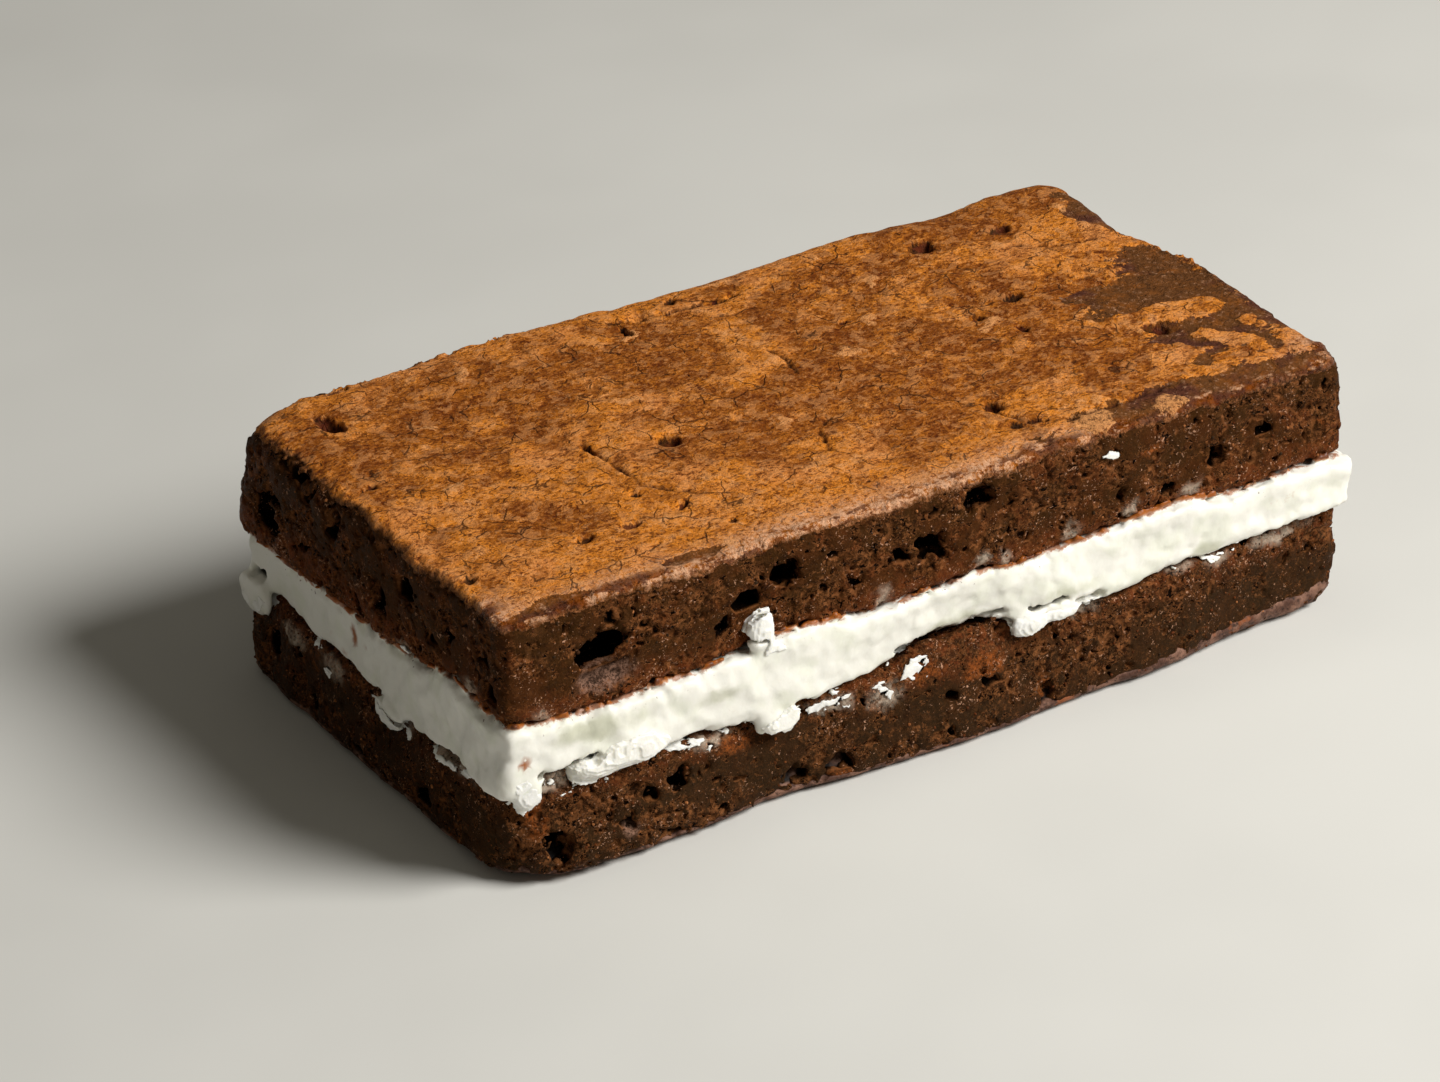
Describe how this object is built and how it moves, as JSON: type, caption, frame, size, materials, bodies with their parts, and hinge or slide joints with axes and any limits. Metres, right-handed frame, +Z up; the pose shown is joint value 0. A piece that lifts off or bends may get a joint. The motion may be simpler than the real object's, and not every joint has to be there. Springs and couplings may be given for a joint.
{
  "type": "brownie sandwich bar",
  "caption": "Rectangular brownie sandwich bar: chocolate layers with white cream between them, a crackled papery top and porous cut sides.",
  "frame": {"origin": "under the middle of the bar, on the surface that it lies on", "axes": "+X along the bar's long side, +Y across it towards the hidden long cut face, +Z up through the layers to the crackled top"},
  "size_m": [0.103, 0.0572, 0.03],
  "materials": {
    "upper_brownie": null,
    "cream_filling": null,
    "lower_brownie": null
  },
  "bodies": {
    "root": {"upper_brownie": "upper_brownie", "cream_filling": "cream_filling", "lower_brownie": "lower_brownie"}
  },
  "joints": []
}
